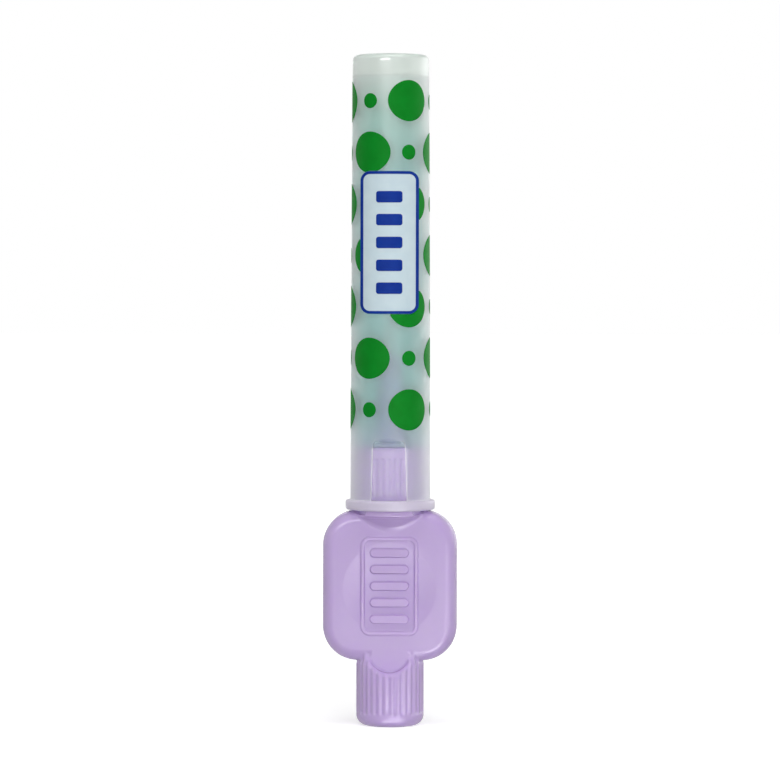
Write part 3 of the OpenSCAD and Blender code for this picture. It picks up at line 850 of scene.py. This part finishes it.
def frosted_plastic():
    """Outer skin of the cap and its bore: clear in the windows of the two flats, with a painted
    highlight line in white at their sides and a painted shade at their foot, nearly clear over the
    hollow, and milky at the flange, which is painted lilac for the handle's light seen through it,
    and at the solid end, which is also glossy."""
    m, nt, p = new_material("frosted_shell")
    x, _, height = object_place(nt)
    window, line, flange = window_masks(nt, x, height)
    end = rising(nt, height, *END_SPAN)

    # The window is darker at its foot by the flange, a painted shade
    shaded_pane = mixed(nt, rising(nt, height, *PANE_SHADE_SPAN), PANE_SHADED, PANE)
    col = mixed(nt, window, mottled(nt, noise(nt, 110, 2), *SHELL), shaded_pane)
    # The line is a painted highlight in white, and the flange takes a painted lilac
    for share, colour in ((line, WHITE), (flange, FLANGE_PAINTED_LILAC), (end, SHELL_END)):
        col = mixed(nt, share, col, colour)
    nt.links.new(col, p.inputs["Base Color"])

    clear = share_range(nt, window, SHELL_CLEAR, WINDOW_CLEAR)
    clear = math_node(nt, "ADD", clear, share_range(nt, flange, 0.0, FLANGE_MILK))
    clear = math_node(nt, "ADD", clear, rising(nt, height, *MILK_SPAN, end=END_MILK))
    # The painted highlight line is also milkier
    clear = math_node(nt, "SUBTRACT", clear, math_node(nt, "MULTIPLY", line, HIGHLIGHT_MILK))
    nt.links.new(clear, p.inputs["Transmission Weight"])

    rough = value_range(nt, noise(nt, 700, 3), *SHELL_ROUGH)
    rough = math_node(nt, "ADD", rough, share_range(nt, window, 0.0, WINDOW_POLISH))
    nt.links.new(rough, p.inputs["Roughness"])
    p.inputs["IOR"].default_value = PLASTIC_IOR

    # The end's gloss stops at its rounded rim
    gloss = math_node(nt, "MULTIPLY", end, falling(nt, height, *GLOSS_SPAN))
    nt.links.new(share_range(nt, gloss, 0.05, 0.7), p.inputs["Coat Weight"])
    p.inputs["Coat Roughness"].default_value = 0.04
    swell = bump(nt, noise(nt, 330, 2), distance=0.00003, strength=0.3)
    nt.links.new(swell, p.inputs["Normal"])
    return m


def frosted_cavity_painted_light():
    """Matt inner skin of the cap above its bore, which paints shade into the hollow: a teal-grey,
    paler towards the closed end. Where the bore begins it paints a lilac for the light of the
    plug inside, turning to a blue-grey painted shade just above the plug."""
    m, nt, p = new_material("frosted_cavity_painted_light")
    height = object_place(nt)[2]
    # Painted shade of the hollow, paler towards the closed end
    shade = mottled(nt, noise(nt, 110, 2), *HOLLOW_SHADE)
    shade = mixed(nt, rising(nt, height, *PALER_SPAN), shade, HOLLOW_SHADE_TOP)
    # Where the bore begins: painted lilac for the plug's light, turning to painted shade above the
    # plug, then fading into the hollow
    rim = mixed(nt, rising(nt, height, *PLUG_LIGHT_TO_SHADE_SPAN), PAINTED_PLUG_LIGHT, PAINTED_SHADE_OVER_PLUG)
    shade = mixed(nt, falling(nt, height, *BORE_PAINT_FADE_SPAN), shade, rim)
    nt.links.new(shade, p.inputs["Base Color"])
    p.inputs["Transmission Weight"].default_value = 0.97
    nt.links.new(value_range(nt, noise(nt, 700, 3), 0.54, 0.58), p.inputs["Roughness"])
    p.inputs["IOR"].default_value = PLASTIC_IOR
    swell = bump(nt, noise(nt, 400, 2), distance=0.00004, strength=0.4)
    nt.links.new(swell, p.inputs["Normal"])
    return m


def ink(name, colours):
    m, nt, p = new_material(name)
    finish(nt, p, colours, drift=(600, 3), roughness=(0.45, 0.58), polish=(2500, 2))
    p.inputs["Specular IOR Level"].default_value = 0.08
    grain = bump(nt, noise(nt, 6000, 2), distance=0.000004, strength=0.5)
    nt.links.new(grain, p.inputs["Normal"])
    return m


def steel():
    m, nt, p = new_material("drawn_wire")
    finish(nt, p, STEEL, drift=(3000, 2, (1, 1, 0.2)), roughness=(0.22, 0.36), polish=(4000, 2))
    p.inputs["Metallic"].default_value = 1.0
    return m


def coating():
    m, nt, p = new_material("wire_sleeve")
    finish(nt, p, SLEEVE, drift=(900, 2), roughness=(0.2, 0.32), polish=(2500, 2))
    p.inputs["Subsurface Weight"].default_value = 0.2
    p.inputs["Subsurface Scale"].default_value = 0.0002
    grain = bump(nt, noise(nt, 3000, 2), distance=0.000008, strength=0.5)
    nt.links.new(grain, p.inputs["Normal"])
    return m


def nylon():
    m, nt, p = new_material("nylon_filament")
    finish(nt, p, NYLON, drift=(1500, 2), roughness=(0.28, 0.4), polish=(3000, 2))
    return m


# The object
def dress(piece, body, slot, material, *replaced):
    piece.data.materials.append(material)
    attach(piece, body)
    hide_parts(*replaced)


dress(build_handle(), "brush_body", "lilac_plastic", lilac_plastic(), "handle")
line = wire_line()
core = make_piece("wire_steel_core", *tube(line, WIRE_R, WIRE_SIDES))
dress(core, "brush_body", "wire_steel", steel(), "wire_core")
sleeve = make_piece("wire_sleeve", *tube(line, COAT_R, COAT_SIDES))
dress(sleeve, "brush_body", "wire_coat", coating(), "wire_coating")
dress(build_bristles(), "brush_body", "bristle_nylon", nylon(), "bristles")
cap_piece = build_cap()
dress(cap_piece, "cap_body", "frosted_plastic", frosted_plastic(), "cap")
cap_piece.data.materials.append(frosted_cavity_painted_light())
panel, lines, spots = build_print()
dress(panel, "cap_body", "pale_ink", ink("ink_pale", PALE_INK), "print_panel")
dress(lines, "cap_body", "dark_ink", ink("ink_dark", DARK_INK), "print_lines")
dress(spots, "cap_body", "green_ink", ink("ink_green", GREEN_INK), "print_spots")

# Floor and world. From here on, places and sizes are in metres and powers in watts.
FLOOR_HALF = 3.0
FLOOR_LIFT, LIFT_SPAN = (0.64, 0.85), (0.05, 0.5)
WORLD_FILL = 0.15


def direct_ray(nt):
    """1 for camera, glossy and transmission rays, and 0 for the rays that light the object."""
    path = nt.nodes.new("ShaderNodeLightPath").outputs
    seen = math_node(nt, "MAXIMUM", path["Is Camera Ray"], path["Is Glossy Ray"])
    return math_node(nt, "MAXIMUM", seen, path["Is Transmission Ray"])


def floor_paper():
    """White paper, whose glow for direct rays rises away from the object, past its soft shadow."""
    m, nt, p = new_material("floor_paper")
    p.inputs["Roughness"].default_value = 0.9
    p.inputs["Specular IOR Level"].default_value = 0.1
    nt.links.new(mottled(nt, noise(nt, 300, 2), *PAPER), p.inputs["Base Color"])
    p.inputs["Emission Color"].default_value = (*WHITE, 1)
    where = nt.nodes.new("ShaderNodeTexCoord")
    away = nt.nodes.new("ShaderNodeVectorMath")
    away.operation = "LENGTH"
    nt.links.new(where.outputs["Object"], away.inputs[0])
    glow = value_range(nt, away.outputs["Value"], *FLOOR_LIFT, *LIFT_SPAN)
    nt.links.new(math_node(nt, "MULTIPLY", direct_ray(nt), glow), p.inputs["Emission Strength"])
    return m


s = FLOOR_HALF
floor_mesh = bpy.data.meshes.new("floor")
floor_mesh.from_pydata([(-s, -s, 0), (s, -s, 0), (s, s, 0), (-s, s, 0)], [], [(0, 1, 2, 3)])
floor = bpy.data.objects.new("floor", floor_mesh)
bpy.context.scene.collection.objects.link(floor)
floor_mesh.materials.append(floor_paper())

world = bpy.data.worlds.new("studio")
bpy.context.scene.world = world
world.use_nodes = True
nt = world.node_tree
background = nt.nodes["Background"].inputs
nt.links.new(share_range(nt, direct_ray(nt), WORLD_FILL, 1.0), background["Strength"])
background["Color"].default_value = (*WHITE, 1)

# Lamps. The sun and the last softbox give the diffuse light, and the others only show in
# reflections: the softboxes in the cap and the grip's edges, and the cards, which lie on the
# floor, in the faces of plate and barrel and in the rim of the foot.
SUN_POWER, SUN_ANGLE, SUN_WAY = 1.8, 50, (-0.14, 0.95, -0.2)
LOW, MIDDLE, HIGH = (0, 0, 0.03), (0, 0, 0.06), (0, 0, 0.10)
SOFTBOXES = (  # name, place, aim, size, power
    ("softbox_key", (-0.14, -0.565, 0.22), MIDDLE, (0.32, 0.09), 1.2),
    ("softbox_rim", (0.02, -0.10, 0.45), LOW, (0.3, 0.3), 1.0),
    ("softbox_left", (-0.43, 0.07, 0.13), HIGH, (0.6, 0.26), 0.26),
    ("softbox_right", (0.43, 0.07, 0.13), HIGH, (0.6, 0.26), 0.7),
    ("softbox_back", (0.345, 0.29, 0.13), HIGH, (0.5, 0.26), 0.47),
)
CARDS = (  # name, place on the floor, size, turn in degrees, power
    ("card_far", (0.076, -0.213), (0.11, 0.34), 20, 0.55),
    ("card_mid", (0.011, -0.024), (0.010, 0.026), 25, 0.008),
    ("card_near", (0.0015, -0.0092), (0.004, 0.010), 5, 0.0008),
)
CARD_Z = 0.0004
OVERHEAD = "softbox_over", (0.02, -0.10, 0.45), LOW, (0.22, 0.22), 0.8


def lamp(name, at, aim, size, power):
    data = bpy.data.lights.new(name, "AREA")
    data.shape = "RECTANGLE"
    data.size, data.size_y = size
    data.energy = power
    o = bpy.data.objects.new(name, data)
    bpy.context.scene.collection.objects.link(o)
    o.location = at
    o.visible_camera = o.visible_transmission = False
    o.rotation_mode = "QUATERNION"
    o.rotation_quaternion = (Vector(aim) - Vector(at)).to_track_quat("-Z", "Y")
    return o


sun = bpy.data.lights.new("daylight", "SUN")
sun.energy = SUN_POWER
sun.angle = math.radians(SUN_ANGLE)
sun_at = bpy.data.objects.new("daylight", sun)
bpy.context.scene.collection.objects.link(sun_at)
sun_at.visible_glossy = False
sun_at.rotation_mode = "QUATERNION"
sun_at.rotation_quaternion = Vector(SUN_WAY).to_track_quat("-Z", "Y")
for softbox in SOFTBOXES:
    lamp(*softbox).visible_diffuse = False
face_up = Matrix.Rotation(math.pi, 3, "X")
for name, at, size, yaw, power in CARDS:
    card = lamp(name, (*at, CARD_Z), (0, 0, 1), size, power)
    turned = Matrix.Rotation(math.radians(yaw), 3, "Z") @ face_up
    card.rotation_quaternion = turned.to_quaternion()
    card.visible_diffuse = False
lamp(*OVERHEAD).visible_glossy = False

# Camera: level, at the height of the photograph's horizon, its lens shifted to frame the object
PIXEL = 0.12734 * MM
FRAME_PIXELS, FOOT_ROW = 780, 724.2
FAR, HORIZON = 0.45, 57 * MM
AZIMUTH, ROLL, ASIDE = math.radians(2.2), math.radians(-0.09), 0.6 * PIXEL
SENSOR, CLIP = 36, (0.01, 20)
half_frame = FRAME_PIXELS / 2 * PIXEL

cam_data = bpy.data.cameras.new("camera")
cam = bpy.data.objects.new("camera", cam_data)
bpy.context.scene.collection.objects.link(cam)
cam_data.sensor_width = SENSOR
cam_data.lens = SENSOR * FAR / (2 * half_frame)
cam_data.clip_start, cam_data.clip_end = CLIP
cam_data.shift_y = (FOOT_ROW - FRAME_PIXELS / 2) / FRAME_PIXELS - HORIZON / (2 * half_frame)
cam.location = (FAR * math.sin(AZIMUTH) - ASIDE, -FAR * math.cos(AZIMUTH), HORIZON)
cam.rotation_euler = (math.pi / 2, ROLL, AZIMUTH)
bpy.context.scene.camera = cam

bpy.context.scene.view_settings.view_transform = "Standard"
